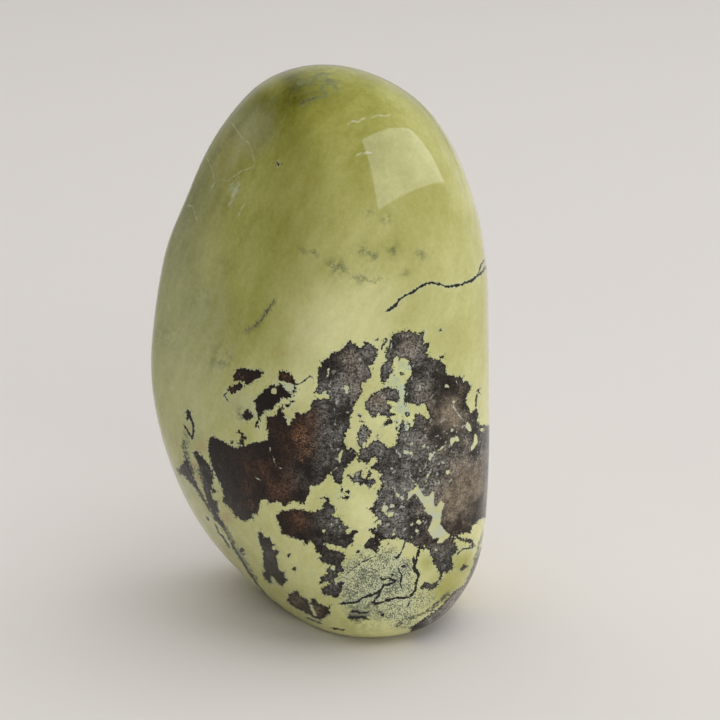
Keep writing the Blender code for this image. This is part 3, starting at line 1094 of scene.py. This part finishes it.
def ground_colour(nodes):
    """Cloudy yellow-green serpentine with haze, stains and fine speckle."""
    # The tone is partly painted light and shade.
    tone_and_shade, milk, speckle = nodes.parts("ground_zones")
    haze, stain, _ = nodes.parts("cloud_zones")
    change = nodes.plus(*[nodes.grain(name) for name in ("cloud", "wisp", "mottle", "grit")])
    milk = nodes.plus(milk, nodes.change("wisp_milk", nodes.noise("wisp")))
    colour = clear_colour(nodes, nodes.plus(tone_and_shade, change), milk)
    colour = nodes.mix(nodes.times(haze, nodes.grain("haze"), clamp=True), colour, HAZE)
    mottle = nodes.change("stain_mottle", nodes.noise("mottle"))
    colour = nodes.mix(nodes.times(stain, mottle, clamp=True), colour, STAIN)
    return speckled(nodes, colour, speckle)


def patch_colour(nodes, patch):
    """Brown-black mineral: dark rims, speckled inside, with warmer and greyer zones."""
    red, tan, grey = nodes.parts("patch_zones")
    orange, _, pale_ledge = nodes.parts("accent_zones")
    streak = nodes.parts("cloud_zones")[2]
    fine = nodes.noise("fine")
    broad = nodes.noise("broad")
    blend = nodes.change("blend", broad)
    colour = PATCH_DEEP
    for zone, shade in ((red, PATCH_RED), (grey, PATCH_GREY), (tan, PATCH_TAN)):
        colour = nodes.mix(nodes.times(zone, blend, clamp=True), colour, shade)
    sparks = nodes.times(nodes.change("sparks", fine), orange, clamp=True)
    colour = nodes.mix(sparks, colour, PATCH_ORANGE)
    calm = nodes.change("calm", nodes.plus(tan, nodes.times(pale_ledge, PALE_LEDGE_CALM)))
    darkest = nodes.change("darkest", calm)
    lightest = nodes.change("lightest", calm)
    contrast = nodes.times(
        nodes.ramp(fine, *FINE_LEVELS, darkest, lightest),
        nodes.grain("coarse"),
        nodes.change("broad", broad),
    )
    colour = nodes.scaled(colour, contrast)
    pale_ledge_colour = nodes.scaled(PATCH_PALE_LEDGE, contrast)
    colour = nodes.mix(nodes.times(pale_ledge, blend, clamp=True), colour, pale_ledge_colour)
    chips = nodes.times(nodes.grain("chips"), nodes.change("grey_chips", grey))
    colour = nodes.mix(chips, colour, PATCH_LIGHT)
    streaks = nodes.times(nodes.grain("streaks"), streak, clamp=True)
    colour = nodes.mix(nodes.times(streaks, STREAK_SHARE), colour, STREAK)
    rim = nodes.times(nodes.change("patch_rim", patch), PATCH_RIM_SHARE)
    return nodes.mix(rim, colour, PATCH_RIM)


def edged_ground(nodes, patch, scallop, pale_lines_and_glints, rim_noise):
    """The ground with pale rims round the patches, and with the lines on it, among them painted glints
    and painted reflections.
    """
    ground = ground_colour(nodes)
    tint = nodes.parts("accent_zones")[1]
    rim = nodes.times(nodes.change("rim_near", patch), rim_noise, nodes.change("tint_rim", tint))
    ground = nodes.mix(nodes.times(nodes.change("tint", tint), rim_noise), ground, TINT)
    ground = nodes.mix(rim, ground, RIM)
    # Pale lines, with painted glints and bits of painted reflection among them.
    ground = nodes.mix(nodes.times(pale_lines_and_glints, nodes.grain("pale")), ground, PALE_LINE)
    # The faint look includes a painted reflection edge along the left rim.
    for name, shade in (("faint", FAINT), ("smoke", SMOKE), ("halo", RIM)):
        torn = nodes.change(name, nodes.noise("torn"))
        ground = nodes.mix(nodes.times(line_mask(nodes, name, scallop), torn), ground, shade)
    return nodes.mix(line_mask(nodes, "veins", scallop), ground, VEIN)


def surface_bump(nodes, dark):
    """Fine pits in the dark mineral, on a very slight swell of the whole stone."""
    pits = nodes.times(nodes.noise("pits"), dark)
    swell = nodes.times(nodes.noise("swell"), SWELL_DEPTH)
    bump = nodes.add("ShaderNodeBump")
    height = nodes.plus(nodes.times(pits, PIT_DEPTH), swell)
    nodes.fill(bump, {"Strength": 1.0, "Distance": MM, "Height": height})
    return bump.outputs[0]


def serpentine_material():
    """Polished serpentine with satin dark mineral in it."""
    material = bpy.data.materials.new("serpentine")
    material.use_nodes = True
    nodes = Nodes(material.node_tree)
    place = nodes.add("ShaderNodeTexCoord").outputs["Object"]
    nodes.millimetres = nodes.scaled(place, 1.0 / MM)
    scallop = nodes.grain("scallop")
    patch = nodes.plus(nodes.value("patch"), scallop)
    fleck = nodes.plus(nodes.value("fleck"), nodes.times(scallop, FLECK_FRAY))
    crumbs = nodes.times(nodes.grain("crumbs"), nodes.change("crumbs_near", patch))
    patch_mask = nodes.math("MAXIMUM", nodes.change("patch_edge", patch), crumbs)
    fleck_mask = nodes.change("fleck_edge", fleck)
    pale_lines_and_glints = line_mask(nodes, "pale", scallop)
    rim_noise = nodes.grain("rim")
    ground = edged_ground(nodes, patch, scallop, pale_lines_and_glints, rim_noise)
    scratches = nodes.times(pale_lines_and_glints, nodes.change("scratches", nodes.noise("torn")))
    dark = nodes.mix(scratches, patch_colour(nodes, patch), FLECK)
    pale = nodes.mix(nodes.change("fleck_pale", rim_noise), ground, FLECK)
    dark = nodes.mix(fleck_mask, dark, pale)
    solid_dark = nodes.times(patch_mask, nodes.math("SUBTRACT", 1.0, fleck_mask))
    nodes.fill(material.node_tree.nodes["Principled BSDF"], {
        "Base Color": nodes.mix(patch_mask, ground, dark),
        "Roughness": nodes.ramp(solid_dark, 0.0, 1.0, nodes.grain("gloss"), nodes.grain("satin")),
        "Normal": surface_bump(nodes, solid_dark),
        "IOR": STONE_IOR,
        "Specular IOR Level": STONE_SPECULAR,
        "Subsurface Weight": nodes.change("glow", solid_dark),
        "Subsurface Radius": GLOW_RADIUS,
        "Subsurface Scale": GLOW_SCALE,
    })
    return material


def add_object(name, data):
    """A new object of the data, in the scene."""
    made = bpy.data.objects.new(name, data)
    bpy.context.scene.collection.objects.link(made)
    return made


def make_stone():
    """The stone's piece, which stands for the solid and rides on its body."""
    rings = stone_rings(ring_places(), side_turns())
    mesh = build_mesh(rings, markings(rings))
    mesh.materials.append(serpentine_material())
    stone = add_object(PIECE_NAME, mesh)
    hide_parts(NODE_NAME)
    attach(stone, "root")


def make_floor():
    """A plain pale floor."""
    half = FLOOR_SIZE / 2.0
    corners = [(-half, -half, 0.0), (half, -half, 0.0), (half, half, 0.0), (-half, half, 0.0)]
    mesh = bpy.data.meshes.new("floor")
    mesh.from_pydata(corners, [], [(0, 1, 2, 3)])
    material = bpy.data.materials.new("floor")
    material.use_nodes = True
    shader = material.node_tree.nodes["Principled BSDF"]
    look = {"Base Color": FLOOR_COLOUR, "Roughness": FLOOR_ROUGHNESS}
    Nodes(material.node_tree).fill(shader, look)
    mesh.materials.append(material)
    floor = add_object("floor", mesh)


def make_lamp(name, azimuth, distance, height, shines_from, tilt, width, tall, brightness, mirrored):
    """A flat lamp of an even brightness, either only mirrored or never mirrored."""
    light = bpy.data.lights.new(name, "AREA")
    light.shape = "RECTANGLE"
    light.size = width
    light.size_y = tall
    light.energy = brightness * math.pi * width * tall
    lamp = add_object(name, light)
    turn = math.radians(azimuth)
    lamp.location = (distance * math.cos(turn), distance * math.sin(turn), height)
    lamp.rotation_euler = (math.radians(90.0 - tilt), 0.0, math.radians(shines_from + 90.0))
    lamp.visible_camera = False
    lamp.visible_glossy = mirrored
    lamp.visible_diffuse = not mirrored


def make_light():
    """The lamps, and a little light from all round, most of it from behind."""
    for name, settings in LAMPS.items():
        make_lamp(name, *settings)
    world = bpy.data.worlds.new("studio")
    world.use_nodes = True
    nodes = Nodes(world.node_tree)
    direction = nodes.add("ShaderNodeTexCoord").outputs["Generated"]
    behind = nodes.add("ShaderNodeSeparateXYZ", direction).outputs[1]
    sky = {"Color": WORLD_COLOUR, "Strength": nodes.change("sky_behind", behind)}
    nodes.fill(world.node_tree.nodes["Background"], sky)
    bpy.context.scene.world = world


def make_camera():
    """The camera at the photograph's place and angle."""
    data = bpy.data.cameras.new("camera")
    data.lens = CAMERA_LENS
    data.sensor_width = CAMERA_SENSOR
    camera = add_object("camera", data)
    camera.location = [value * MM for value in CAMERA_PLACE]
    camera.rotation_euler = (math.radians(90.0 - CAMERA_DOWN), 0.0, 0.0)
    bpy.context.scene.camera = camera
    bpy.context.scene.view_settings.view_transform = "Standard"


make_stone()
make_floor()
make_light()
make_camera()
